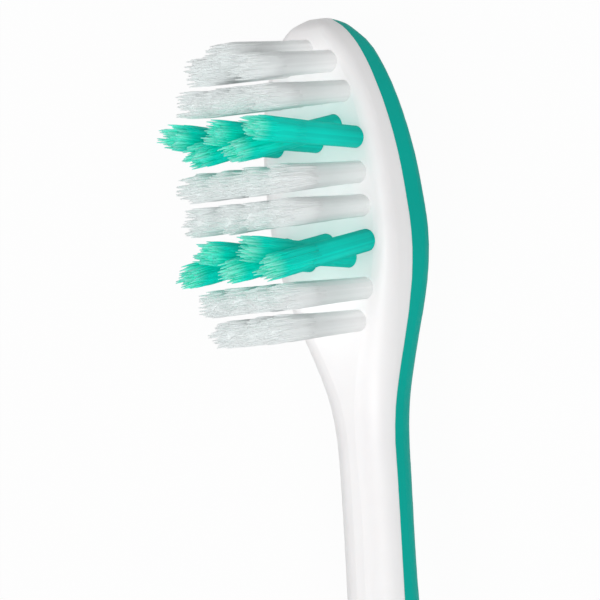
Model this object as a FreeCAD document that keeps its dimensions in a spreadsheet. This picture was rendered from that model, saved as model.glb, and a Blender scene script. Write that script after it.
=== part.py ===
"""Manual toothbrush with a two-shot handle, a crossed-bristle head and anchored tufts.

The brush lies on its back: +X runs to the tip of the head, +Z is the way the bristles point,
and z = 0 is the table under the flat land on the back of the handle.
"""
import FreeCAD, Part
import Sketcher
import math
import os

VECTOR = FreeCAD.Vector
ACROSS_BRUSH = FreeCAD.Rotation(VECTOR(1, 1, 1), 120)

# Driving sizes in millimetres; the one angle is in degrees. "at" is a distance from the tip of the head.
SIZES = {
    # Outline of the brush seen from the bristle side
    "overall_length": 180.0,
    "head_length": 25.0,
    "head_width": 11.3,
    "shoulder_at": 14.5,
    "throat_at": 31.0,
    "neck_end_at": 44.0,
    "neck_width": 4.85,
    "grip_width": 11.4,
    "waist_width": 9.8,
    "swell_width": 11.0,
    "tail_length": 17.0,
    # Outline seen from the side
    "face_height": 6.9,
    "nose_drop": 2.0,
    "tip_depth": 4.2,
    "head_depth": 5.85,
    "heel_at": 21.0,
    "dip_at": 28.0,
    "throat_dip": 0.35,
    "neck_depth": 4.3,
    "grip_height": 10.9,
    "waist_height": 9.2,
    "swell_height": 9.6,
    "rest_land_cut": 0.3,
    # Soft skin over the stiff core
    "skin_wall": 0.8,
    "thumb_pad_length": 36.0,
    "thumb_pad_width": 6.6,
    "rib_height": 0.45,
    "rib_width": 1.1,
    "rib_pitch": 2.6,
    # Tuft field, measured from the middle of the head
    "end_row_reach": 9.3,
    "end_row_bow": 0.94,
    "end_row_pitch": 2.03,
    "shoulder_row_reach": 7.05,
    "shoulder_row_pitch": 2.0,
    "cross_row_reach": 4.2,
    "cross_row_stagger": 0.5,
    "cross_row_pitch": 1.85,
    "middle_row_reach": 1.2,
    "middle_row_pitch": 2.4,
    "cross_tilt": 6.5,
    # One tuft and the flat wire that pins it in its hole
    "tuft_diameter": 1.6,
    "hole_depth": 2.7,
    "white_tuft_length": 10.6,
    "teal_tuft_length": 12.2,
    "tuft_crown": 0.35,
    "tuft_gap": 0.12,
    "anchor_length": 2.0,
    "anchor_thickness": 0.25,
    "anchor_height": 1.3,
    "fold_height": 0.35,
    # How far a cutting tool runs past what it cuts
    "overrun": 5.0,
}

# Where the back skin rises highest on the nose, between the tip and the middle of the head
BROW_PLACE_SHARE = 0.4
# Where the handle is fullest and slimmest, between the end of the neck and the start of the tail
GRIP_PLACE_SHARE = 0.25
WAIST_PLACE_SHARE = 0.58
SWELL_PLACE_SHARE = 0.90
# Section places between the middle of the head and the start of the tail
STATION_SHARES = (
    0.015, 0.030, 0.045, 0.060, 0.075, 0.090, 0.105, 0.121, 0.139, 0.160, 0.184, 0.212, 0.246, 0.286,
    0.333, 0.388, 0.450, 0.520, 0.595, 0.670, 0.745, 0.815, 0.875, 0.925, 0.965,
)
# The rounded ends are quarter ellipses, cut into sections at these angles from the very end
END_ANGLES = (6, 13, 21, 30, 40, 51, 63, 76)
QUARTER_TURN = 90
NOSE_FRONT_TURN_SHARE = 2.8
NOSE_BACK_TURN_SHARE = 2.0
TAIL_TURN_SHARE = 1.25
# Corner radii of a section, as shares of its smaller half size
HEAD_FRONT_ROUND_SHARE = 0.42
HEAD_BACK_ROUND_SHARE = 0.46
NECK_ROUND_SHARE = 0.86
HANDLE_ROUND_SHARE = 0.74
# Depth of the line between the two plastics below the front, as a share of the thickness
NOSE_PARTING_SHARE = 0.52
BROW_PARTING_SHARE = 0.465
HEEL_PARTING_SHARE = 0.515
NECK_PARTING_SHARE = 0.395
HANDLE_PARTING_SHARE = 0.50
NOSE_PARTING_PLACE_SHARES = (0.0, 0.2, 0.4, 0.6, 0.8)
TAIL_PARTING_PLACE_SHARES = (0.35, 0.7)
RIB_COUNT = 11
PAD_SPANS = 8
LOFT_DEGREE = 3

doc = FreeCAD.newDocument("toothbrush")
sheet = doc.addObject("Spreadsheet::Sheet", "Sizes")
for row, (size_name, size_value) in enumerate(SIZES.items(), start=1):
    sheet.set(f"A{row}", size_name)
    sheet.set(f"B{row}", str(size_value))
    sheet.setAlias(f"B{row}", size_name)
doc.recompute()


def size(name):
    """The expression that reads one size from the sheet."""
    return f"Sizes.{name}"


def value(expression):
    """The number that an expression gives now."""
    return float(sheet.evalExpression(str(expression)))


def bind(item, bindings):
    """Binds properties of an object to expressions."""
    for path, expression in bindings.items():
        item.setExpression(path, str(expression))


def mix(start, end, share):
    """The expression for a size part of the way from one size to another."""
    return f"({start} + (({end}) - ({start})) * {share})"


# Places along the brush, as distances from the tip of the head
HEAD_MIDDLE = f"{size('head_length')} / 2"
TAIL_START = f"({size('overall_length')} - {size('tail_length')})"
GRIP = mix(size("neck_end_at"), TAIL_START, GRIP_PLACE_SHARE)
WAIST = mix(size("neck_end_at"), TAIL_START, WAIST_PLACE_SHARE)
SWELL = mix(size("neck_end_at"), TAIL_START, SWELL_PLACE_SHARE)
FACE = size("face_height")
BELLY = f"(0 - {size('rest_land_cut')})"

# Each profile is a list of places and what it measures there; cosine curves join them
HALF_WIDTHS = (
    (size("shoulder_at"), f"{size('head_width')} / 2"),
    (size("throat_at"), f"{size('neck_width')} / 2"),
    (size("neck_end_at"), f"{size('neck_width')} / 2"),
    (GRIP, f"{size('grip_width')} / 2"),
    (WAIST, f"{size('waist_width')} / 2"),
    (SWELL, f"{size('swell_width')} / 2"),
)
FRONTS = (
    (size("heel_at"), FACE),
    (size("dip_at"), f"{FACE} - {size('throat_dip')}"),
    (GRIP, size("grip_height")),
    (WAIST, size("waist_height")),
    (SWELL, size("swell_height")),
)
BACKS = (
    ("0", f"{FACE} - {size('tip_depth')}"),
    (size("heel_at"), f"{FACE} - {size('head_depth')}"),
    (size("neck_end_at"), f"{FACE} - {size('neck_depth')}"),
    (GRIP, BELLY),
)
FRONT_ROUND_SHARES = (
    (size("shoulder_at"), HEAD_FRONT_ROUND_SHARE),
    (size("throat_at"), NECK_ROUND_SHARE),
    (size("neck_end_at"), NECK_ROUND_SHARE),
    (GRIP, HANDLE_ROUND_SHARE),
)
BACK_ROUND_SHARES = (
    (size("shoulder_at"), HEAD_BACK_ROUND_SHARE),
    (size("throat_at"), NECK_ROUND_SHARE),
    (size("neck_end_at"), NECK_ROUND_SHARE),
    (GRIP, HANDLE_ROUND_SHARE),
)
PARTING_SHARES = (
    ("0", NOSE_PARTING_SHARE),
    (mix("0", HEAD_MIDDLE, BROW_PLACE_SHARE), BROW_PARTING_SHARE),
    (size("heel_at"), HEEL_PARTING_SHARE),
    (size("throat_at"), NECK_PARTING_SHARE),
    (size("neck_end_at"), NECK_PARTING_SHARE),
    (GRIP, HANDLE_PARTING_SHARE),
)


def along(profile, place):
    """The expression for a profile at a place, eased from one listed place to the next."""
    spot = value(place)
    if spot <= value(profile[0][0]):
        return profile[0][1]
    for (start, before), (end, after) in zip(profile, profile[1:]):
        if spot <= value(end):
            ease = f"(1 - cos(180 deg * (({place}) - ({start})) / (({end}) - ({start})))) / 2"
            return mix(before, after, f"({ease})")
    return profile[-1][1]


def end_share(angle, turn_share=1.0):
    """How far a rounded end has opened out at an angle from its very end."""
    return math.sin(math.radians(min(QUARTER_TURN, angle * turn_share)))


def station(place, inset="0"):
    """A cross-section between the rounded ends, drawn in by an inset."""
    return {
        "place": place,
        "half_width": f"({along(HALF_WIDTHS, place)}) - ({inset})",
        "front": f"({along(FRONTS, place)}) - ({inset})",
        "back": f"({along(BACKS, place)}) + ({inset})",
        "front_round_share": along(FRONT_ROUND_SHARES, place),
        "back_round_share": along(BACK_ROUND_SHARES, place),
    }


def nose_station(angle, inset):
    """A cross-section of the elliptical half of the head that ends at the tip."""
    reach = f"({HEAD_MIDDLE} - ({inset}))"
    place = f"({inset}) + {reach} * {1 - math.cos(math.radians(angle))}"
    middle = f"({FACE} - {size('nose_drop')})"
    return {
        "place": place,
        "half_width": f"({size('head_width')} / 2 - ({inset})) * {end_share(angle)}",
        "front": mix(middle, f"{FACE} - ({inset})", end_share(angle, NOSE_FRONT_TURN_SHARE)),
        "back": mix(middle, f"({along(BACKS, place)}) + ({inset})", end_share(angle, NOSE_BACK_TURN_SHARE)),
        "front_round_share": HEAD_FRONT_ROUND_SHARE,
        "back_round_share": HEAD_BACK_ROUND_SHARE,
    }


def tail_station(angle, inset):
    """A cross-section of the rounded end of the handle."""
    full = station(TAIL_START, inset)
    reach = f"({size('tail_length')} - ({inset}))"
    middle = f"(({full['front']}) + ({full['back']})) / 2"
    return {
        "place": f"{TAIL_START} + {reach} * {math.cos(math.radians(angle))}",
        "half_width": f"({full['half_width']}) * {end_share(angle)}",
        "front": mix(middle, full["front"], end_share(angle, TAIL_TURN_SHARE)),
        "back": mix(middle, full["back"], end_share(angle, TAIL_TURN_SHARE)),
        "front_round_share": HANDLE_ROUND_SHARE,
        "back_round_share": HANDLE_ROUND_SHARE,
    }


def middle_places():
    """The places of the cross-sections between the rounded ends."""
    return [HEAD_MIDDLE] + [mix(HEAD_MIDDLE, TAIL_START, share) for share in STATION_SHARES] + [TAIL_START]


def body_stations(inset="0"):
    """All cross-sections from the tip of the head to the end of the handle."""
    nose = [nose_station(angle, inset) for angle in END_ANGLES]
    tail = [tail_station(angle, inset) for angle in reversed(END_ANGLES)]
    return nose + [station(place, inset) for place in middle_places()] + tail


def from_tip(place):
    """The expression for the X of a place given as a distance from the tip."""
    return f"{size('overall_length')} / 2 - ({place})"


def arc(centre, radius, start_angle, turn=QUARTER_TURN):
    """A round edge of a sketch."""
    circle = Part.Circle(VECTOR(*centre, 0), VECTOR(0, 0, 1), radius)
    return Part.ArcOfCircle(circle, math.radians(start_angle), math.radians(start_angle + turn))


def line(start, end):
    """A straight edge of a sketch."""
    return Part.LineSegment(VECTOR(*start, 0), VECTOR(*end, 0))


def name_sizes(sketch, sizes):
    """Adds named size constraints and binds each one to its expression."""
    for name, (constraint, expression) in sizes.items():
        index = sketch.addConstraint(Sketcher.Constraint(*constraint, value(expression)))
        sketch.renameConstraint(index, name)
        sketch.setExpression(f"Constraints.{name}", expression)


def section_sketch(name, place, height):
    """An empty sketch across the brush, with its origin at a height above the table."""
    sketch = doc.addObject("Sketcher::SketchObject", name)
    sketch.Placement = FreeCAD.Placement(VECTOR(value(from_tip(place)), 0, value(height)), ACROSS_BRUSH)
    bind(sketch, {"Placement.Base.x": from_tip(place), "Placement.Base.z": height})
    return sketch


def rounded_section(name, cut):
    """A rectangle with rounded corners across the brush."""
    half_height = f"(({cut['front']}) - ({cut['back']})) / 2"
    smaller = f"min({cut['half_width']}; {half_height})"
    front_radius = f"({cut['front_round_share']}) * {smaller}"
    back_radius = f"({cut['back_round_share']}) * {smaller}"
    sketch = section_sketch(name, cut["place"], f"(({cut['front']}) + ({cut['back']})) / 2")
    wide = value(cut["half_width"])
    tall = value(half_height)
    front = value(front_radius)
    back = value(back_radius)
    edges = [
        line((wide, back - tall), (wide, tall - front)),
        arc((wide - front, tall - front), front, 0),
        line((wide - front, tall), (front - wide, tall)),
        arc((front - wide, tall - front), front, QUARTER_TURN),
        line((-wide, tall - front), (-wide, back - tall)),
        arc((back - wide, back - tall), back, 2 * QUARTER_TURN),
        line((back - wide, -tall), (wide - back, -tall)),
        arc((wide - back, back - tall), back, 3 * QUARTER_TURN),
    ]
    sketch.addGeometry(edges, False)
    rules = [Sketcher.Constraint("Tangent", i, 2, (i + 1) % len(edges), 1) for i in range(len(edges))]
    rules += [Sketcher.Constraint("Vertical", i) for i in (0, 4)]
    rules += [Sketcher.Constraint("Horizontal", i) for i in (2, 6)]
    rules += [Sketcher.Constraint("Equal", 1, 3), Sketcher.Constraint("Equal", 5, 7)]
    sketch.addConstraint(rules)
    name_sizes(sketch, {
        "near_half": (("DistanceX", -1, 1, 0, 1), cut["half_width"]),
        "far_half": (("DistanceX", 4, 1, -1, 1), cut["half_width"]),
        "front_half": (("DistanceY", -1, 1, 2, 1), half_height),
        "back_half": (("DistanceY", 6, 1, -1, 1), half_height),
        "front_radius": (("Radius", 1), front_radius),
        "back_radius": (("Radius", 5), back_radius),
    })
    return sketch


def rectangle_section(name, place, bottom, top, half_width):
    """A plain rectangle across the brush."""
    half_height = f"(({top}) - ({bottom})) / 2"
    sketch = section_sketch(name, place, f"(({top}) + ({bottom})) / 2")
    wide = value(half_width)
    tall = value(half_height)
    corners = [(wide, -tall), (wide, tall), (-wide, tall), (-wide, -tall)]
    edges = [line(corners[i], corners[(i + 1) % len(corners)]) for i in range(len(corners))]
    sketch.addGeometry(edges, False)
    rules = [Sketcher.Constraint("Coincident", i, 2, (i + 1) % len(edges), 1) for i in range(len(edges))]
    rules += [Sketcher.Constraint("Vertical", i) for i in (0, 2)]
    rules += [Sketcher.Constraint("Horizontal", i) for i in (1, 3)]
    sketch.addConstraint(rules)
    name_sizes(sketch, {
        "near_half": (("DistanceX", -1, 1, 0, 1), half_width),
        "far_half": (("DistanceX", 2, 1, -1, 1), half_width),
        "top_half": (("DistanceY", -1, 1, 1, 1), half_height),
        "bottom_half": (("DistanceY", 3, 1, -1, 1), half_height),
    })
    return sketch


def loft(name, sections, ruled=False):
    """A solid through a row of sections, smooth or straight from each section to the next."""
    solid = doc.addObject("Part::Loft", name)
    solid.Sections = sections
    solid.Solid = True
    solid.Ruled = ruled
    solid.MaxDegree = LOFT_DEGREE
    return solid


def brush_form(name, inset="0"):
    """The outside of the whole brush, or that form drawn in by an inset."""
    cuts = body_stations(inset)
    return loft(name, [rounded_section(f"{name}Section{i}", cut) for i, cut in enumerate(cuts)])


def pad_form(name, inset):
    """The outside of the grip alone, drawn in by an inset or, below zero, swollen."""
    near = f"{GRIP} - {size('thumb_pad_length')}"
    far = f"{GRIP} + {size('thumb_pad_length')}"
    cuts = [station(mix(near, far, i / PAD_SPANS), inset) for i in range(PAD_SPANS + 1)]
    return loft(name, [rounded_section(f"{name}Section{i}", cut) for i, cut in enumerate(cuts)])


def front_block(name):
    """A block over all of the brush that lies in front of the line between the plastics."""
    top = f"({size('grip_height')} + {size('overrun')})"
    half_width = f"({size('head_width')} + {size('grip_width')}) / 2"
    places = [f"0 - {size('overrun')}"]
    places += [mix("0", HEAD_MIDDLE, share) for share in NOSE_PARTING_PLACE_SHARES]
    places += middle_places()
    places += [mix(TAIL_START, size("overall_length"), share) for share in TAIL_PARTING_PLACE_SHARES]
    places += [f"{size('overall_length')} + {size('overrun')}"]
    sections = []
    for i, place in enumerate(places):
        full = station(place)
        parting = mix(full["front"], full["back"], f"({along(PARTING_SHARES, place)})")
        sections.append(rectangle_section(f"{name}Section{i}", place, parting, top, half_width))
    return loft(name, sections, ruled=True)


def combine(kind, name, base, tool):
    """A boolean of two solids: Part::Cut, Part::Common or Part::Fuse."""
    result = doc.addObject(kind, name)
    result.Base = base
    result.Tool = tool
    result.Refine = False
    return result


def gather(name, solids):
    """One tool made of many solids."""
    group = doc.addObject("Part::MultiFuse", name)
    group.Shapes = solids
    group.Refine = False
    return group


def origin_plane(body, role):
    """One of a body's own origin planes."""
    return next(plane for plane in body.Origin.OriginFeatures if plane.Role == role)


def body_sketch(body, name, role):
    """An empty sketch on one of a body's own origin planes."""
    sketch = body.newObject("Sketcher::SketchObject", name)
    sketch.AttachmentSupport = [(origin_plane(body, role), "")]
    sketch.MapMode = "FlatFace"
    return sketch


def thumb_prism(name):
    """A tall block with the rounded outline of the thumb pad."""
    body = doc.addObject("PartDesign::Body", name)
    sketch = body_sketch(body, f"{name}Outline", "XY_Plane")
    radius = f"{size('thumb_pad_width')} / 2"
    straight = f"({size('thumb_pad_length')} - {size('thumb_pad_width')}) / 2"
    half = value(straight)
    round_end = value(radius)
    edges = [
        arc((half, 0), round_end, -QUARTER_TURN, 2 * QUARTER_TURN),
        line((half, round_end), (-half, round_end)),
        arc((-half, 0), round_end, QUARTER_TURN, 2 * QUARTER_TURN),
        line((-half, -round_end), (half, -round_end)),
    ]
    sketch.addGeometry(edges, False)
    rules = [Sketcher.Constraint("Tangent", i, 2, (i + 1) % len(edges), 1) for i in range(len(edges))]
    rules += [Sketcher.Constraint("Horizontal", 1), Sketcher.Constraint("PointOnObject", 0, 3, -1)]
    sketch.addConstraint(rules)
    name_sizes(sketch, {
        "front_centre": (("DistanceX", -1, 1, 0, 3), straight),
        "rear_centre": (("DistanceX", 2, 3, -1, 1), straight),
        "end_radius": (("Radius", 0), radius),
    })
    pad = body.newObject("PartDesign::Pad", f"{name}Pad")
    pad.Profile = sketch
    bind(pad, {"Length": f"{size('grip_height')} + {size('overrun')}"})
    height = f"{size('grip_height')} / 2"
    bind(body, {"Placement.Base.x": from_tip(GRIP), "Placement.Base.z": height})
    return body


def rib_slabs(name):
    """A row of slabs across the thumb pad, one for each grip rib."""
    slabs = []
    for i in range(RIB_COUNT):
        step = i - (RIB_COUNT - 1) / 2
        slab = doc.addObject("Part::Box", f"{name}{i + 1}")
        bind(slab, {
            "Length": size("rib_width"),
            "Width": size("thumb_pad_width"),
            "Height": f"{size('grip_height')} + {size('overrun')}",
            "Placement.Base.x": f"{from_tip(GRIP)} + {step} * {size('rib_pitch')} - {size('rib_width')} / 2",
            "Placement.Base.y": f"0 - {size('thumb_pad_width')} / 2",
            "Placement.Base.z": f"{size('grip_height')} / 2",
        })
        slabs.append(slab)
    return gather(f"{name}s", slabs)


def tuft_places():
    """Every tuft: its label, colour, place on the face, and lean to the tip (1) or the tail (-1)."""
    rows = (
        ("end", 1, "white", 3),
        ("shoulder", 1, "white", 4),
        ("cross", 1, "teal", 5),
        ("middle", 1, "white", 4),
        ("middle", -1, "white", 4),
        ("cross", -1, "teal", 5),
        ("shoulder", -1, "white", 4),
        ("end", -1, "white", 3),
    )
    for number, (kind, side, colour, count) in enumerate(rows, start=1):
        for column in range(count):
            step = column - (count - 1) / 2
            reach = size(f"{kind}_row_reach")
            lean = 0
            if kind == "end" and side == 1 and step == 0:
                reach = f"{reach} + {size('end_row_bow')}"
            if kind == "cross":
                outward = -1 if column % 2 == 0 else 1
                reach = f"{reach} + {outward} * {size('cross_row_stagger')}"
                lean = -side * outward
            label = f"{colour}_tuft_row{number}_{column + 1}"
            centre_x = f"({from_tip(HEAD_MIDDLE)} + {side} * ({reach}))"
            yield label, colour, centre_x, f"{size(f'{kind}_row_pitch')} * {step}", lean


def stand_in_hole(item, centre_x, centre_y, lean, raised="0", overhang="0"):
    """Leans an item with its tuft hole, raised from the floor and set back from the axis."""
    below = f"({size('hole_depth')} - ({raised}))"
    tilt = f"{size('cross_tilt')} * {abs(lean)}"
    sine = f"sin({tilt} * 1 deg)"
    cosine = f"cos({tilt} * 1 deg)"
    bind(item, {
        "Placement.Base.x": f"{centre_x} - {lean} * {below} * {sine} - ({overhang}) * {cosine}",
        "Placement.Base.y": centre_y,
        "Placement.Base.z": f"{FACE} - {below} * {cosine} + {lean} * ({overhang}) * {sine}",
    })
    if lean:
        item.Placement = FreeCAD.Placement(VECTOR(), FreeCAD.Rotation(VECTOR(0, lean, 0), value(tilt)))
        bind(item, {"Placement.Rotation.Angle": tilt})


def tuft_bundle(name, colour):
    """A bundle of filaments: straight in its hole, spreading above the face, with a crowned end."""
    body = doc.addObject("PartDesign::Body", name)
    sketch = body_sketch(body, f"{name}Profile", "XZ_Plane")
    pitch = size("shoulder_row_pitch") if colour == "white" else size("cross_row_pitch")
    root = f"{size('tuft_diameter')} / 2"
    spread = f"({pitch} - {size('tuft_gap')}) / 2"
    top = f"({size('hole_depth')} + {size(f'{colour}_tuft_length')})"
    shoulder = f"({top} - {size('tuft_crown')})"
    root_x = value(root)
    spread_x = value(spread)
    depth = value(size("hole_depth"))
    corners = [(0, 0), (root_x, 0), (root_x, depth), (spread_x, value(shoulder)), (0, value(top)), (0, 0)]
    sketch.addGeometry([line(corners[i], corners[i + 1]) for i in (0, 1, 2)], False)
    middle = (spread_x * math.sqrt(0.5), value(shoulder) + value(size("tuft_crown")) * math.sqrt(0.5))
    crown = Part.Arc(*(VECTOR(*point, 0) for point in (corners[3], middle, corners[4])))
    sketch.addGeometry([crown, line(corners[4], corners[5])], False)
    crown_start = 1 if sketch.Geometry[3].StartPoint.x > sketch.Geometry[3].EndPoint.x else 2
    sketch.addConstraint([
        Sketcher.Constraint("Coincident", 0, 1, -1, 1),
        Sketcher.Constraint("Coincident", 0, 2, 1, 1),
        Sketcher.Constraint("Coincident", 1, 2, 2, 1),
        Sketcher.Constraint("Coincident", 2, 2, 3, crown_start),
        Sketcher.Constraint("Coincident", 3, 3 - crown_start, 4, 1),
        Sketcher.Constraint("Coincident", 4, 2, 0, 1),
        Sketcher.Constraint("Horizontal", 0),
        Sketcher.Constraint("Vertical", 1),
        Sketcher.Constraint("Vertical", 4),
        Sketcher.Constraint("PointOnObject", 3, 3, -2),
    ])
    name_sizes(sketch, {
        "root_radius": (("DistanceX", 0, 1, 0, 2), root),
        "in_hole": (("DistanceY", 1, 1, 1, 2), size("hole_depth")),
        "spread_radius": (("DistanceX", -1, 1, 2, 2), spread),
        "spread_height": (("DistanceY", -1, 1, 2, 2), shoulder),
        "whole_height": (("DistanceY", 4, 2, 4, 1), top),
    })
    turned = body.newObject("PartDesign::Revolution", f"{name}Turned")
    turned.Profile = sketch
    turned.ReferenceAxis = (sketch, ["V_Axis"])
    turned.Angle = 4 * QUARTER_TURN
    return body


def anchor(name, centre_x, centre_y, lean):
    """The flat wire across the foot of one tuft, whose ends bite into the core."""
    wire = doc.addObject("Part::Box", name)
    bind(wire, {
        "Length": size("anchor_length"),
        "Width": size("anchor_thickness"),
        "Height": size("anchor_height"),
    })
    side = f"{centre_y} - {size('anchor_thickness')} / 2"
    stand_in_hole(wire, centre_x, side, lean, size("fold_height"), f"{size('anchor_length')} / 2")
    return wire


def tuft_hole(name, centre_x, centre_y, lean):
    """The drill for one blind tuft hole."""
    drill = doc.addObject("Part::Cylinder", name)
    bind(drill, {
        "Radius": f"{size('tuft_diameter')} / 2",
        "Height": f"{size('hole_depth')} + {size('overrun')}",
    })
    stand_in_hole(drill, centre_x, centre_y, lean)
    return drill


def build():
    """Builds every sub-part and returns them."""
    outer = brush_form("OuterForm")
    inner = brush_form("InnerForm", size("skin_wall"))
    front = front_block("FrontBlock")

    wires = []
    drills = []
    tufts = []
    for label, colour, centre_x, centre_y, lean in tuft_places():
        wire = anchor(f"anchor_{label}", centre_x, centre_y, lean)
        bundle = tuft_bundle(f"bundle_{label}", colour)
        stand_in_hole(bundle, centre_x, centre_y, lean)
        wires.append(wire)
        drills.append(tuft_hole(f"hole_{label}", centre_x, centre_y, lean))
        tufts.append(combine("Part::Cut", label, bundle, wire))

    prism = thumb_prism("ThumbPrism")
    floor = pad_form("PadFloor", size("skin_wall"))
    recess = combine("Part::Cut", "ThumbRecess", prism, floor)
    blank = combine("Part::Fuse", "CoreBlank", combine("Part::Common", "FrontHalf", outer, front), inner)
    seated = combine("Part::Cut", "CoreWithRecess", blank, recess)
    core = combine("Part::Cut", "handle_core", seated, gather("TuftSockets", drills + wires))

    skin = combine("Part::Cut", "BackSkin", combine("Part::Cut", "BackHalf", outer, front), inner)
    table = doc.addObject("Part::Box", "TableBlock")
    bind(table, {
        "Length": size("overall_length"),
        "Width": f"{size('grip_width')} + {size('overrun')}",
        "Height": size("overrun"),
        "Placement.Base.x": f"0 - {size('overall_length')} / 2",
        "Placement.Base.y": f"0 - ({size('grip_width')} + {size('overrun')}) / 2",
        "Placement.Base.z": f"0 - {size('overrun')}",
    })
    overmould = combine("Part::Cut", "back_overmould", skin, table)

    flush = combine("Part::Common", "FlushPad", recess, pad_form("PadFlush", "0"))
    bars = combine("Part::Common", "RibBars", recess, rib_slabs("RibSlab"))
    ribs = combine("Part::Common", "Ribs", bars, pad_form("PadRaised", f"(0 - {size('rib_height')})"))
    pad = combine("Part::Fuse", "thumb_pad", flush, ribs)

    anchors = doc.addObject("Part::Compound", "tuft_anchors")
    anchors.Links = wires
    return [core, overmould, pad, anchors] + tufts


def check(parts):
    """Stops if any object failed to build or any sub-part is empty or broken."""
    for item in doc.Objects:
        if "Invalid" in item.State or "Error" in item.State:
            raise RuntimeError(f"{item.Name} failed: {item.State}")
    for part in parts:
        if part.Shape.isNull() or not part.Shape.isValid():
            raise RuntimeError(f"{part.Label} has no valid shape")
        print(part.Label, len(part.Shape.Solids), "solids", round(part.Shape.Volume, 3), "mm3")


parts = build()
doc.recompute()
check(parts)
os.makedirs("parts", exist_ok=True)
for part in parts:
    part.Shape.exportStep(f"parts/{part.Label}.step")
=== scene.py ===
"""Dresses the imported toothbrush: filament tufts, moulded plastics, a white studio and the camera.

The brush lies on its back along X with the head at +X and the bristles up. Lengths are written in
millimetres and turned to metres where a mesh or an object is made.
"""
import logging
import math
from dataclasses import dataclass
from enum import Enum
from typing import Iterator, Mapping, Union

import bpy
import numpy as np
from mathutils import Matrix, Vector


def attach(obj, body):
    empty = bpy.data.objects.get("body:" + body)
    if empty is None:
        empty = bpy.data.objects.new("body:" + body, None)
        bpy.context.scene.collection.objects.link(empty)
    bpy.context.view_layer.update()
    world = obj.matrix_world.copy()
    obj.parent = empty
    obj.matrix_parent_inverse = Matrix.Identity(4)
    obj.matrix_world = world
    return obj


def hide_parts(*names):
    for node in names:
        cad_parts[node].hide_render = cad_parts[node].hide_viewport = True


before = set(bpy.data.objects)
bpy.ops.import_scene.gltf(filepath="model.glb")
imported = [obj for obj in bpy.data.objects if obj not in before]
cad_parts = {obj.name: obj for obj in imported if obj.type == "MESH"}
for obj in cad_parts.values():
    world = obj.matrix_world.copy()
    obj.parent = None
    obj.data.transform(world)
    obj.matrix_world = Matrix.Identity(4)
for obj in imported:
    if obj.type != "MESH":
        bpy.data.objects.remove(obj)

LOG = logging.getLogger("toothbrush")
MM = 0.001
BODY = "root"
SEED = 20260

# How high the head's face lies above the table.
FACE_MM = 6.9

# The colour sockets of a Mix node share their names with its other sockets, so they go by number.
MIX_SHARE = 0
MIX_FIRST = 6
MIX_SECOND = 7
MIX_RESULT = 2

SocketValue = Union[float, tuple, bpy.types.NodeSocket]


def linear(hex_code: str) -> tuple[float, float, float, float]:
    """Turns an sRGB hex colour to linear light.

    Args:
        hex_code: six hex digits, red first.

    Returns:
        Red, green, blue and an alpha of 1.
    """
    channels = [int(hex_code[i:i + 2], 16) / 255 for i in (0, 2, 4)]
    red, green, blue = [c / 12.92 if c <= 0.04045 else ((c + 0.055) / 1.055) ** 2.4 for c in channels]
    return red, green, blue, 1.0


def per_metre(size_mm: float) -> float:
    """The pattern scale that makes one cell of a pattern this many millimetres wide."""
    return 1.0 / (size_mm * MM)


def add_node(tree: bpy.types.NodeTree, kind: str, settings: Mapping[str, object],
             inputs: Mapping[Union[str, int], SocketValue]) -> bpy.types.Node:
    """Adds a shader node with its settings and links.

    Args:
        tree: the node tree of a material or the world.
        kind: the node's type name.
        settings: the node's own properties.
        inputs: a constant or an output socket for each input, by name or number.

    Returns:
        The new node.
    """
    made = tree.nodes.new(kind)
    for name, setting in settings.items():
        setattr(made, name, setting)
    for key, given in inputs.items():
        if isinstance(given, bpy.types.NodeSocket):
            tree.links.new(given, made.inputs[key])
        else:
            made.inputs[key].default_value = given
    return made


def empty_material(name: str) -> bpy.types.Material:
    """A material with an empty node tree."""
    material = bpy.data.materials.new(name)
    material.use_nodes = True
    material.node_tree.nodes.clear()
    return material


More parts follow.
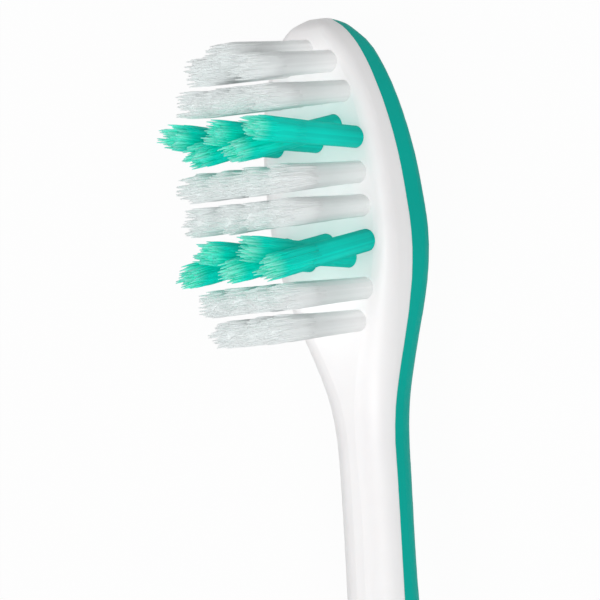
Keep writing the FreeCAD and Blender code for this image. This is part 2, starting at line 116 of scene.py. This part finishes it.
@dataclass(frozen=True)
class MouldedPolypropylene:
    """Polypropylene moulded in a polished steel tool.

    The eye sees an opaque white with a soft, slightly waxy gloss: light goes a little way in, the
    highlights are broad, and the tool leaves a faint flow pattern and a very fine grain.
    """

    name: str = "white_polypropylene_moulded"
    colour: str = "F6F5F5"
    flow_colour: str = "EFEDEE"
    roughness: float = 0.42
    roughness_spread: float = 0.08
    ior: float = 1.49
    scatter_share: float = 0.18
    scatter_mm: float = 0.7
    scatter_reach: tuple[float, float, float] = (1.0, 0.9, 0.85)
    flow_mm: float = 9.0
    flow_detail: float = 3.0
    flow_distortion: float = 0.6
    grain_mm: float = 0.45
    grain_detail: float = 2.0
    grain_height_mm: float = 0.004
    grain_strength: float = 0.25

    def material(self) -> bpy.types.Material:
        """Builds the material."""
        made = empty_material(self.name)
        tree = made.node_tree
        place = add_node(tree, "ShaderNodeTexCoord", {}, {}).outputs["Object"]
        flow = add_node(tree, "ShaderNodeTexNoise", {}, {
            "Vector": place, "Scale": per_metre(self.flow_mm), "Detail": self.flow_detail,
            "Distortion": self.flow_distortion})
        # The true mould grain is near 0.05 mm; it is drawn coarser so that it still breaks the gloss.
        grain = add_node(tree, "ShaderNodeTexNoise", {}, {
            "Vector": place, "Scale": per_metre(self.grain_mm), "Detail": self.grain_detail})
        colour = add_node(tree, "ShaderNodeMix", {"data_type": "RGBA"}, {
            MIX_SHARE: flow.outputs["Fac"], MIX_FIRST: linear(self.colour),
            MIX_SECOND: linear(self.flow_colour)})
        gloss = add_node(tree, "ShaderNodeMapRange", {}, {
            "Value": grain.outputs["Fac"], "To Min": self.roughness - self.roughness_spread,
            "To Max": self.roughness + self.roughness_spread})
        relief = add_node(tree, "ShaderNodeBump", {}, {
            "Height": grain.outputs["Fac"], "Strength": self.grain_strength,
            "Distance": self.grain_height_mm * MM})
        surface = add_node(tree, "ShaderNodeBsdfPrincipled", {}, {
            "Base Color": colour.outputs[MIX_RESULT], "Roughness": gloss.outputs["Result"], "IOR": self.ior,
            "Subsurface Weight": self.scatter_share, "Subsurface Radius": self.scatter_reach,
            "Subsurface Scale": self.scatter_mm * MM, "Normal": relief.outputs["Normal"]})
        add_node(tree, "ShaderNodeOutputMaterial", {}, {"Surface": surface.outputs["BSDF"]})
        return made


@dataclass(frozen=True)
class MouldedElastomer:
    """Thermoplastic elastomer moulded over the core in a fine spark-eroded tool.

    The eye sees a deep, saturated teal with a low satin gloss and a fine skin-like grain that breaks
    up the reflections.
    """

    name: str = "teal_elastomer_moulded"
    colour: str = "00B0A2"
    shade_colour: str = "00A698"
    roughness: float = 0.46
    roughness_spread: float = 0.07
    ior: float = 1.5
    specular: float = 0.06
    cloud_mm: float = 7.0
    cloud_detail: float = 2.0
    grain_mm: float = 0.3
    grain_height_mm: float = 0.008
    grain_strength: float = 0.3

    def material(self) -> bpy.types.Material:
        """Builds the material."""
        made = empty_material(self.name)
        tree = made.node_tree
        place = add_node(tree, "ShaderNodeTexCoord", {}, {}).outputs["Object"]
        cloud = add_node(tree, "ShaderNodeTexNoise", {}, {
            "Vector": place, "Scale": per_metre(self.cloud_mm), "Detail": self.cloud_detail})
        # Spark erosion leaves pits near 0.03 mm; they are drawn ten times as wide so that they show.
        grain = add_node(tree, "ShaderNodeTexVoronoi", {}, {
            "Vector": place, "Scale": per_metre(self.grain_mm)})
        colour = add_node(tree, "ShaderNodeMix", {"data_type": "RGBA"}, {
            MIX_SHARE: cloud.outputs["Fac"], MIX_FIRST: linear(self.colour),
            MIX_SECOND: linear(self.shade_colour)})
        gloss = add_node(tree, "ShaderNodeMapRange", {}, {
            "Value": grain.outputs["Distance"], "To Min": self.roughness - self.roughness_spread,
            "To Max": self.roughness + self.roughness_spread})
        relief = add_node(tree, "ShaderNodeBump", {}, {
            "Height": grain.outputs["Distance"], "Strength": self.grain_strength,
            "Distance": self.grain_height_mm * MM})
        surface = add_node(tree, "ShaderNodeBsdfPrincipled", {}, {
            "Base Color": colour.outputs[MIX_RESULT], "Roughness": gloss.outputs["Result"], "IOR": self.ior,
            "Specular IOR Level": self.specular, "Normal": relief.outputs["Normal"]})
        add_node(tree, "ShaderNodeOutputMaterial", {}, {"Surface": surface.outputs["BSDF"]})
        return made


@dataclass(frozen=True)
class DrawnNylon:
    """Nylon filament, drawn through a die and tapered at the free end.

    The eye sees soft translucent strands. A dyed strand has its full colour where the strands are
    packed and turns pale and frosted over its tapered end. Near the face it takes a root colour,
    which is light or shade painted at the foot of the tuft, set by each finish.
    """

    name: str
    root_painted_light_colour: str
    body_colour: str
    tip_colour: str
    shadow_tint: str
    root_painted_light_end: float = 0.35
    tip_start: float = 0.86
    tip_end: float = 0.99
    strand_spread: float = 0.03
    roughness: float = 0.50
    ior: float = 1.53
    specular: float = 0.12
    through_share: float = 0.3

    def material(self) -> bpy.types.Material:
        """Builds the material."""
        made = empty_material(self.name)
        tree = made.node_tree
        reach = add_node(tree, "ShaderNodeAttribute", {"attribute_name": "reach"}, {}).outputs["Fac"]
        shade = add_node(tree, "ShaderNodeAttribute", {"attribute_name": "shade"}, {}).outputs["Fac"]
        # The root colour over the lowest part of the tuft is painted light and shade for its foot, where
        # the rows shade each other.
        rise = add_node(tree, "ShaderNodeMapRange", {}, {"Value": reach, "From Max": self.root_painted_light_end})
        low = add_node(tree, "ShaderNodeMix", {"data_type": "RGBA"}, {
            MIX_SHARE: rise.outputs["Result"], MIX_FIRST: linear(self.root_painted_light_colour),
            MIX_SECOND: linear(self.body_colour)})
        frost = add_node(tree, "ShaderNodeMapRange", {"interpolation_type": "SMOOTHSTEP"}, {
            "Value": reach, "From Min": self.tip_start, "From Max": self.tip_end})
        colour = add_node(tree, "ShaderNodeMix", {"data_type": "RGBA"}, {
            MIX_SHARE: frost.outputs["Result"], MIX_FIRST: low.outputs[MIX_RESULT],
            MIX_SECOND: linear(self.tip_colour)})
        bright = add_node(tree, "ShaderNodeMapRange", {}, {
            "Value": shade, "To Min": 1.0 - self.strand_spread, "To Max": 1.0 + self.strand_spread})
        varied = add_node(tree, "ShaderNodeHueSaturation", {}, {
            "Value": bright.outputs["Result"], "Color": colour.outputs[MIX_RESULT]})
        skin = add_node(tree, "ShaderNodeBsdfPrincipled", {}, {
            "Base Color": varied.outputs["Color"], "Roughness": self.roughness, "IOR": self.ior,
            "Specular IOR Level": self.specular})
        through = add_node(tree, "ShaderNodeBsdfTranslucent", {}, {"Color": varied.outputs["Color"]})
        strand = add_node(tree, "ShaderNodeMixShader", {}, {
            0: self.through_share, 1: skin.outputs["BSDF"], 2: through.outputs["BSDF"]})
        # A clear strand takes little of the light that crosses it, so it casts a pale shadow.
        crossed = add_node(tree, "ShaderNodeBsdfTransparent", {}, {"Color": linear(self.shadow_tint)})
        path = add_node(tree, "ShaderNodeLightPath", {}, {})
        surface = add_node(tree, "ShaderNodeMixShader", {}, {
            0: path.outputs["Is Shadow Ray"], 1: strand.outputs["Shader"], 2: crossed.outputs["BSDF"]})
        add_node(tree, "ShaderNodeOutputMaterial", {}, {"Surface": surface.outputs["Shader"]})
        return made


@dataclass(frozen=True)
class RolledNickelSilver:
    """Nickel-silver wire, rolled flat and cut to staples.

    The eye sees a pale warm metal with fine lines along the wire.
    """

    name: str = "nickel_silver_rolled"
    colour: str = "CFC7B4"
    line_colour: str = "B9AF9A"
    roughness: float = 0.30
    line_mm: float = 0.12
    line_length_mm: float = 2.4
    line_detail: float = 2.0

    def material(self) -> bpy.types.Material:
        """Builds the material."""
        made = empty_material(self.name)
        tree = made.node_tree
        place = add_node(tree, "ShaderNodeTexCoord", {}, {}).outputs["Object"]
        drawn = add_node(tree, "ShaderNodeMapping", {}, {
            "Vector": place, "Scale": (self.line_mm / self.line_length_mm, 1.0, 1.0)})
        lines = add_node(tree, "ShaderNodeTexNoise", {}, {
            "Vector": drawn.outputs["Vector"], "Scale": per_metre(self.line_mm),
            "Detail": self.line_detail})
        colour = add_node(tree, "ShaderNodeMix", {"data_type": "RGBA"}, {
            MIX_SHARE: lines.outputs["Fac"], MIX_FIRST: linear(self.colour),
            MIX_SECOND: linear(self.line_colour)})
        surface = add_node(tree, "ShaderNodeBsdfPrincipled", {}, {
            "Base Color": colour.outputs[MIX_RESULT], "Metallic": 1.0, "Roughness": self.roughness})
        add_node(tree, "ShaderNodeOutputMaterial", {}, {"Surface": surface.outputs["BSDF"]})
        return made


class Dye(Enum):
    """The two kinds of filament."""

    WHITE = "white"
    TEAL = "teal"


class Lean(Enum):
    """Which way a tuft leans along the brush."""

    TO_TAIL = -1
    UPRIGHT = 0
    TO_TIP = 1


class Half(Enum):
    """The half of the head that a row stands in."""

    TAIL = -1
    TIP = 1


@dataclass(frozen=True)
class TuftRow:
    """One row of tufts across the head, placed by its distance from the middle of the head."""

    dye: Dye
    half: Half
    count: int
    reach_mm: float
    pitch_mm: float
    flare: float
    bow_mm: float = 0.0
    stagger_mm: float = 0.0


@dataclass(frozen=True)
class TuftSpot:
    """Where one tuft stands."""

    node: str
    dye: Dye
    x_mm: float
    y_mm: float
    lean: Lean
    flare: float


class TubeMesh:
    """Collects closed tubes and turns them into one mesh."""

    def __init__(self) -> None:
        """Starts with no tube."""
        self.points: list[np.ndarray] = []
        self.faces: list[tuple[int, ...]] = []
        self.reaches: list[np.ndarray] = []
        self.shades: list[np.ndarray] = []
        self.count = 0

    def add(self, rings: np.ndarray, reach: np.ndarray, shade: np.ndarray) -> None:
        """Adds one tube, closed at both ends.

        Args:
            rings: points in millimetres, by ring, side and axis, from the foot up.
            reach: for each ring, how far up its tuft it lies: 0 at the face and 1 at the tips.
            shade: for each side, where its colour lies between the darkest and the palest.
        """
        rounds, sides, _ = rings.shape
        self.points.append(rings.reshape(-1, 3))
        self.reaches.append(np.repeat(reach, sides))
        self.shades.append(np.tile(shade, rounds))
        for low in range(self.count, self.count + (rounds - 1) * sides, sides):
            for side in range(sides):
                after = (side + 1) % sides
                self.faces.append((low + side, low + after, low + sides + after, low + sides + side))
        top = self.count + (rounds - 1) * sides
        self.faces.append(tuple(range(top, top + sides)))
        self.faces.append(tuple(range(self.count + sides - 1, self.count - 1, -1)))
        self.count += rounds * sides

    def mesh(self, name: str) -> bpy.types.Mesh:
        """Makes the mesh.

        Args:
            name: the mesh's name.

        Returns:
            A smooth mesh in metres with the point attributes reach and shade.
        """
        made = bpy.data.meshes.new(name)
        made.from_pydata((np.concatenate(self.points) * MM).tolist(), [], self.faces)
        made.polygons.foreach_set("use_smooth", np.ones(len(self.faces), bool))
        for attribute_name, values in (("reach", self.reaches), ("shade", self.shades)):
            attribute = made.attributes.new(attribute_name, "FLOAT", "POINT")
            attribute.data.foreach_set("value", np.concatenate(values).astype(np.float32))
        made.update()
        return made


@dataclass(frozen=True)
class TuftAxes:
    """The foot of a tuft on the face and its three directions."""

    foot: np.ndarray
    up: np.ndarray
    forward: np.ndarray
    sideways: np.ndarray

    @classmethod
    def leaning(cls, foot: np.ndarray, tilt: float) -> "TuftAxes":
        """The axes of a tuft that leans along the brush.

        Args:
            foot: where the tuft leaves the face.
            tilt: its lean to the tip, in radians.

        Returns:
            The axes.
        """
        return cls(foot, np.array([math.sin(tilt), 0.0, math.cos(tilt)]),
                   np.array([math.cos(tilt), 0.0, -math.sin(tilt)]), np.array([0.0, 1.0, 0.0]))

    def rings(self, heights: np.ndarray, across: np.ndarray, radii: np.ndarray) -> np.ndarray:
        """Places the rings of a tube.

        Args:
            heights: the height of each ring above the foot.
            across: the middle of each ring, forward and sideways.
            radii: the radius of each ring at each of its sides.

        Returns:
            Points by ring, side and axis.
        """
        turns = np.linspace(0, 2 * math.pi, radii.shape[1], endpoint=False)
        ahead = across[:, :1] + radii * np.cos(turns)
        aside = across[:, 1:] + radii * np.sin(turns)
        return (self.foot + heights[:, None, None] * self.up + ahead[..., None] * self.forward
                + aside[..., None] * self.sideways)


@dataclass
class TuftField:
    """The bristle head: every tuft as a ridged, packed foot with single filament ends above it."""

    head_middle_mm: float = 77.5
    face_mm: float = FACE_MM
    hole_radius_mm: float = 0.8
    below_face_mm: float = 1.2
    white_length_mm: float = 11.0
    teal_length_mm: float = 12.3
    flare_power: float = 1.5
    cross_tilt_deg: float = 6.5
    strand_radius_mm: float = 0.095
    strand_tip_share: float = 0.35
    strand_sides: int = 5
    strand_rings: int = 6
    ring_growth: int = 6
    root_jitter_mm: float = 0.012
    bend_mm: float = 0.07
    bend_power: int = 3
    ragged_mm: float = 1.7
    crown_mm: float = 0.35
    wisps: int = 6
    wisp_share: float = 0.36
    wisp_drop_mm: float = 0.7
    wisp_turn_jitter: float = 0.15
    wisp_radius_shares: tuple[float, float] = (0.5, 0.75)
    ridge_depth_mm: float = 0.035
    ridge_jitter_mm: float = 0.010
    body_below_tip_mm: float = 3.6
    body_dome_mm: float = 2.2
    dome_angles_deg: tuple[float, ...] = (15.0, 30.0, 45.0, 60.0, 75.0, 85.0)
    body_shares: tuple[float, ...] = (0.0, 0.1, 0.25, 0.42, 0.6, 0.8, 1.0)
    strand_shares: tuple[float, ...] = (0.6, 0.7, 0.79, 0.87, 0.93, 0.97, 1.0)
    taper_start_share: float = 0.91
    rows: tuple[TuftRow, ...] = (
        TuftRow(Dye.WHITE, Half.TIP, count=3, reach_mm=9.3, pitch_mm=2.03, flare=1.36, bow_mm=0.94),
        TuftRow(Dye.WHITE, Half.TIP, count=4, reach_mm=7.05, pitch_mm=2.0, flare=1.36),
        TuftRow(Dye.TEAL, Half.TIP, count=5, reach_mm=4.2, pitch_mm=1.85, flare=1.26, stagger_mm=0.5),
        TuftRow(Dye.WHITE, Half.TIP, count=4, reach_mm=1.2, pitch_mm=2.4, flare=1.46),
        TuftRow(Dye.WHITE, Half.TAIL, count=4, reach_mm=1.2, pitch_mm=2.4, flare=1.46),
        TuftRow(Dye.TEAL, Half.TAIL, count=5, reach_mm=4.2, pitch_mm=1.85, flare=1.26, stagger_mm=0.5),
        TuftRow(Dye.WHITE, Half.TAIL, count=4, reach_mm=7.05, pitch_mm=2.0, flare=1.36),
        TuftRow(Dye.WHITE, Half.TAIL, count=3, reach_mm=9.3, pitch_mm=2.03, flare=1.36),
    )
    finishes: tuple[DrawnNylon, DrawnNylon] = (
        # Painted light: the white root is lighter than the body to lift the shade at the foot of the tufts,
        # and the faint cool cast of body and tip is painted teal light bounced from the teal rows.
        DrawnNylon("white_nylon_drawn", root_painted_light_colour="FCFCFC", body_colour="F0F2F2", tip_colour="EFF1F1",
                   shadow_tint="FBFBFB", strand_spread=0.02, through_share=0.4),
        # Painted shade: the teal root is darker than the body where shade falls at the foot of the tufts;
        # the pale tip is the frosted taper.
        DrawnNylon("teal_nylon_drawn", root_painted_light_colour="00D2C4", body_colour="00E8D9", tip_colour="B0F5EA",
                   shadow_tint="F8F9F9", tip_start=0.80, strand_spread=0.09),
    )

    def spots(self) -> Iterator[TuftSpot]:
        """Gives the place of every tuft, row by row from the tip."""
        for number, row in enumerate(self.rows, start=1):
            for column in range(row.count):
                step = column - (row.count - 1) / 2
                reach = row.reach_mm + (row.bow_mm if step == 0 else 0.0)
                lean = Lean.UPRIGHT
                if row.stagger_mm:
                    outward = -1 if column % 2 == 0 else 1
                    reach += outward * row.stagger_mm
                    lean = Lean(-row.half.value * outward)
                yield TuftSpot(f"{row.dye.value}_tuft_row{number}_{column + 1}", row.dye,
                               self.head_middle_mm + row.half.value * reach, step * row.pitch_mm,
                               lean, row.flare)

    def roots(self, rng: np.random.Generator) -> Iterator[np.ndarray]:
        """Packs the strands of one tuft into its hole, ring by ring.

        Args:
            rng: the seeded source of small shifts.

        Returns:
            For each strand, its offset from the middle of the hole.
        """
        ring_step = (self.hole_radius_mm - self.strand_radius_mm) / self.strand_rings
        for ring in range(self.strand_rings + 1):
            count = max(1, self.ring_growth * ring)
            start = rng.uniform(0, 2 * math.pi)
            for i in range(count):
                angle = start + 2 * math.pi * i / count
                offset = ring * ring_step * np.array([math.cos(angle), math.sin(angle)])
                yield offset + rng.normal(0.0, self.root_jitter_mm, 2)

    def wisp_places(self, rng: np.random.Generator) -> np.ndarray:
        """The middles of the wisps that the strand ends of one tuft draw together into.

        Args:
            rng: the seeded source of places.

        Returns:
            One row of two offsets in millimetres for each wisp.
        """
        turns = rng.uniform(0, 2 * math.pi) + 2 * math.pi * np.arange(self.wisps) / self.wisps
        turns += rng.normal(0.0, self.wisp_turn_jitter, self.wisps)
        radius = self.hole_radius_mm * rng.uniform(*self.wisp_radius_shares, self.wisps)
        around = np.column_stack((radius * np.cos(turns), radius * np.sin(turns)))
        return np.vstack(([0.0, 0.0], around))

    def add_body(self, tubes: TubeMesh, axes: TuftAxes, length: float, flare: float,
                 rng: np.random.Generator) -> None:
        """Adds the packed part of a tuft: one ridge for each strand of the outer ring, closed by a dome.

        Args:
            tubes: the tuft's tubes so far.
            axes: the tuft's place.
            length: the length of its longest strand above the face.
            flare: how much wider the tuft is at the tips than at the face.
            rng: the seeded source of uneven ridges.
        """
        outer = self.ring_growth * self.strand_rings
        crest_and_groove = [0.0, -self.ridge_depth_mm]
        top = length - self.body_below_tip_mm
        dome = np.radians(self.dome_angles_deg)
        heights = np.concatenate(([-self.below_face_mm], np.array(self.body_shares) * top,
                                  top + self.body_dome_mm * np.sin(dome)))
        reach = np.clip(heights / length, 0.0, 1.0)
        closing = np.concatenate((np.ones(len(self.body_shares) + 1), np.cos(dome)))
        ridges = self.hole_radius_mm + np.tile(crest_and_groove, outer)
        ridges += rng.normal(0.0, self.ridge_jitter_mm, len(ridges))
        radii = np.outer((1 + (flare - 1) * reach ** self.flare_power) * closing, ridges)
        shade = np.repeat(rng.uniform(0.0, 1.0, outer), len(crest_and_groove))
        tubes.add(axes.rings(heights, np.zeros((len(heights), 2)), radii), reach, shade)

    def add_strands(self, tubes: TubeMesh, axes: TuftAxes, length: float, flare: float,
                    rng: np.random.Generator) -> None:
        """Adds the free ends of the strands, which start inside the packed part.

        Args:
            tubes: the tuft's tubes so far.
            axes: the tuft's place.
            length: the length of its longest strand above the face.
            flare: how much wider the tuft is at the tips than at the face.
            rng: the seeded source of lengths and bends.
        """
        wisps = self.wisp_places(rng)
        drops = rng.uniform(0.0, self.wisp_drop_mm, len(wisps))
        shares = np.array(self.strand_shares)
        spread = shares[:, None] ** self.flare_power
        taper = np.interp(shares, [self.taper_start_share, 1.0], [1.0, self.strand_tip_share])
        radii = np.repeat(taper[:, None] * self.strand_radius_mm, self.strand_sides, axis=1)
        for root in self.roots(rng):
            wisp = int(np.argmin(np.hypot(*(wisps - root).T)))
            own_length = length - drops[wisp] - rng.uniform(0.0, self.ragged_mm)
            own_length -= self.crown_mm * (np.hypot(*root) / self.hole_radius_mm) ** 2
            bend = rng.normal(0.0, self.bend_mm, 2) + (wisps[wisp] - root) * self.wisp_share
            across = root * (1 + (flare - 1) * spread) + bend * spread ** self.bend_power
            tubes.add(axes.rings(shares * own_length, across, radii), shares * own_length / length,
                      np.full(self.strand_sides, rng.uniform()))

    def tuft_mesh(self, spot: TuftSpot, rng: np.random.Generator) -> bpy.types.Mesh:
        """Builds one tuft.

        Args:
            spot: where the tuft stands.
            rng: the seeded source of lengths and bends.

        Returns:
            A mesh in the brush's frame.
        """
        length = self.white_length_mm if spot.dye is Dye.WHITE else self.teal_length_mm
        axes = TuftAxes.leaning(np.array([spot.x_mm, spot.y_mm, self.face_mm]),
                                math.radians(self.cross_tilt_deg) * spot.lean.value)
        tubes = TubeMesh()
        self.add_body(tubes, axes, length, spot.flare, rng)
        self.add_strands(tubes, axes, length, spot.flare, rng)
        return tubes.mesh(f"{spot.node}_filaments")

    def build(self) -> None:
        """Builds and dresses every tuft in place of its solid."""
        rng = np.random.default_rng(SEED)
        materials = {dye: finish.material() for dye, finish in zip((Dye.WHITE, Dye.TEAL), self.finishes)}
        for spot in self.spots():
            tuft = bpy.data.objects.new(f"{spot.node}_filaments", self.tuft_mesh(spot, rng))
            bpy.context.scene.collection.objects.link(tuft)
            tuft.data.materials.append(materials[spot.dye])
            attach(tuft, BODY)
            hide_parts(spot.node)
            LOG.info("tuft %s has %d faces", spot.node, len(tuft.data.polygons))


@dataclass
class Handle:
    """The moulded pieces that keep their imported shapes: core, soft back, thumb pad and wire anchors."""

    core: MouldedPolypropylene = MouldedPolypropylene()
    soft: MouldedElastomer = MouldedElastomer()
    wire: RolledNickelSilver = RolledNickelSilver()

    def dress(self) -> None:
        """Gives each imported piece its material."""
        soft = self.soft.material()
        for node, material in (("handle_core", self.core.material()), ("back_overmould", soft),
                               ("thumb_pad", soft), ("tuft_anchors", self.wire.material())):
            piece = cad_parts[node]
            piece.data.materials.clear()
            piece.data.materials.append(material)
            LOG.info("piece %s wears %s", node, material.name)


@dataclass
class Studio:
    """A pale floor, a softbox on the camera's side, one above the far side, and the camera."""

    floor_size_mm: float = 3000.0
    floor_drop_mm: float = 0.05
    floor_colour: str = "D8D8D8"
    floor_white_share: float = 0.96
    sky_colour: str = "FFFFFF"
    ambient: float = 0.39
    key_size_mm: float = 300.0
    key_power: float = 2.2
    key_place_mm: tuple[float, float, float] = (-180.0, -440.0, 450.0)
    top_size_mm: float = 400.0
    top_power: float = 1.15
    top_place_mm: tuple[float, float, float] = (-60.0, 280.0, 540.0)
    strand_crossings: int = 32
    strand_bounces: int = 8
    aim_from_tip_mm: float = 21.6
    tip_mm: float = 90.0
    face_mm: float = FACE_MM
    elevation_deg: float = 50.0
    roll_deg: float = 6.4
    distance_mm: float = 450.0
    scale_px_per_mm: float = 14.0
    aim_px: tuple[float, float] = (335.0, 320.0)
    picture_px: float = 600.0
    sensor_mm: float = 36.0
    nearest_mm: float = 10.0
    farthest_mm: float = 10000.0

    def aim(self) -> Vector:
        """The point on the head, in millimetres, that the lamps and the camera are placed from."""
        return Vector((self.tip_mm - self.aim_from_tip_mm, 0.0, self.face_mm))

    def backdrop_share(self, tree: bpy.types.NodeTree) -> bpy.types.NodeSocket:
        """One where the eye, a reflection or a refraction looks, nought for light that falls on things.

        Args:
            tree: the node tree of the floor or the world.

        Returns:
            The output socket with the share.
        """
        path = add_node(tree, "ShaderNodeLightPath", {}, {})
        seen = add_node(tree, "ShaderNodeMath", {"operation": "MAXIMUM"}, {
            0: path.outputs["Is Camera Ray"], 1: path.outputs["Is Glossy Ray"]})
        return add_node(tree, "ShaderNodeMath", {"operation": "MAXIMUM"}, {
            0: seen.outputs["Value"], 1: path.outputs["Is Transmission Ray"]}).outputs["Value"]

    def build_floor(self) -> None:
        """Lays the floor just under the brush: pale paper that the eye sees as nearly white."""
        half = self.floor_size_mm / 2 * MM
        low = -self.floor_drop_mm * MM
        mesh = bpy.data.meshes.new("studio_floor")
        mesh.from_pydata([(-half, -half, low), (half, -half, low), (half, half, low), (-half, half, low)],
                         [], [(0, 1, 2, 3)])
        floor = bpy.data.objects.new("studio_floor", mesh)
        bpy.context.scene.collection.objects.link(floor)
        made = empty_material("white_paper_sweep")
        tree = made.node_tree
        paper = add_node(tree, "ShaderNodeBsdfDiffuse", {}, {"Color": linear(self.floor_colour)})
        white = add_node(tree, "ShaderNodeEmission", {}, {"Strength": 1.0})
        share = add_node(tree, "ShaderNodeMath", {"operation": "MULTIPLY"}, {
            0: self.backdrop_share(tree), 1: self.floor_white_share})
        both = add_node(tree, "ShaderNodeMixShader", {}, {
            0: share.outputs["Value"], 1: paper.outputs["BSDF"], 2: white.outputs["Emission"]})
        add_node(tree, "ShaderNodeOutputMaterial", {}, {"Surface": both.outputs["Shader"]})
        mesh.materials.append(made)

    def build_world(self) -> None:
        """Surrounds the brush with even white light."""
        world = bpy.data.worlds.new("studio_world")
        world.use_nodes = True
        tree = world.node_tree
        tree.nodes.clear()
        level = add_node(tree, "ShaderNodeMapRange", {}, {
            "Value": self.backdrop_share(tree), "To Min": self.ambient, "To Max": 1.0})
        sky = add_node(tree, "ShaderNodeBackground", {}, {
            "Color": linear(self.sky_colour), "Strength": level.outputs["Result"]})
        add_node(tree, "ShaderNodeOutputWorld", {}, {"Surface": sky.outputs["Background"]})
        bpy.context.scene.world = world

    def build_lamp(self, name: str, size_mm: float, power: float,
                   place_mm: tuple[float, float, float]) -> None:
        """Hangs one square softbox that faces the head.

        Args:
            name: the lamp's name.
            size_mm: the side of the softbox.
            power: its power in watts.
            place_mm: its place from the head.
        """
        lamp = bpy.data.lights.new(name, "AREA")
        lamp.size = size_mm * MM
        lamp.energy = power
        box = bpy.data.objects.new(name, lamp)
        away = Vector(place_mm) * MM
        box.location = self.aim() * MM + away
        box.rotation_mode = "QUATERNION"
        box.rotation_quaternion = (-away).to_track_quat("-Z", "Y")
        bpy.context.scene.collection.objects.link(box)

    def build_camera(self) -> None:
        """Sets the camera over the near side, with the head up and leaning a little to the left."""
        tilt = math.radians(self.elevation_deg)
        roll = math.radians(self.roll_deg)
        to_tip = Vector((1.0, 0.0, 0.0))
        to_right = Vector((0.0, -math.sin(tilt), -math.cos(tilt)))
        right = to_right * math.cos(roll) - to_tip * math.sin(roll)
        up = to_tip * math.cos(roll) + to_right * math.sin(roll)
        back = right.cross(up)
        aim = self.aim()
        middle = self.picture_px / 2
        aim += right * (middle - self.aim_px[0]) / self.scale_px_per_mm
        aim -= up * (middle - self.aim_px[1]) / self.scale_px_per_mm
        lens = bpy.data.cameras.new("studio_camera")
        lens.sensor_width = self.sensor_mm
        lens.lens = self.sensor_mm * self.distance_mm * self.scale_px_per_mm / self.picture_px
        lens.clip_start = self.nearest_mm * MM
        lens.clip_end = self.farthest_mm * MM
        camera = bpy.data.objects.new("studio_camera", lens)
        turn = Matrix((right, up, back)).transposed().to_4x4()
        camera.matrix_world = Matrix.Translation((aim + back * self.distance_mm) * MM) @ turn
        bpy.context.scene.collection.objects.link(camera)
        bpy.context.scene.camera = camera

    def build(self) -> None:
        """Builds floor, world, lamps and camera."""
        self.build_floor()
        self.build_world()
        self.build_lamp("key_softbox", self.key_size_mm, self.key_power, self.key_place_mm)
        self.build_lamp("top_softbox", self.top_size_mm, self.top_power, self.top_place_mm)
        self.build_camera()
        bpy.context.scene.view_settings.view_transform = "Standard"
        # Light has to cross many clear strands and bounce among white ones before it leaves a tuft.
        bpy.context.scene.cycles.transparent_max_bounces = self.strand_crossings
        bpy.context.scene.cycles.diffuse_bounces = self.strand_bounces
        LOG.info("studio is ready")


def main() -> None:
    """Builds the pieces in order and reports each one."""
    logging.basicConfig(level=logging.INFO, format="%(name)s: %(message)s")
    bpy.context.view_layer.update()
    Studio().build()
    Handle().dress()
    TuftField().build()


if __name__ == "__main__":
    main()
